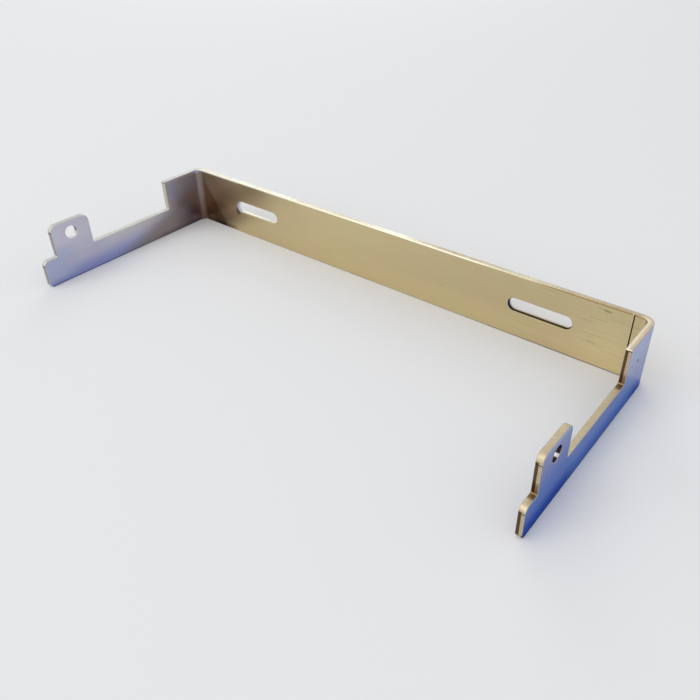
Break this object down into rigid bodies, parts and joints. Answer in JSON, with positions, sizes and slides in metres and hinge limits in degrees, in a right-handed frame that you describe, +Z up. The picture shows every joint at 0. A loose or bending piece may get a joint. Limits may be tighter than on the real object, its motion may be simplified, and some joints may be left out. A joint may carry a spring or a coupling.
{
  "type": "wall mounting bracket",
  "caption": "Wall bracket folded from one steel sheet: a slotted back plate with a stepped arm at each end, and a tab with a hole near each arm's front.",
  "frame": {"origin": "on the wall face of the back plate, halfway between its two slots", "axes": "+X along the back plate, +Y into the wall, +Z up; the arms reach forward along -Y"},
  "size_m": [0.3, 0.1175, 0.034],
  "materials": {
    "steel": "satin rolled steel with a warm tarnish, punched edges and rounded rims"
  },
  "bodies": {
    "root": {"bracket": "steel"}
  },
  "joints": []
}
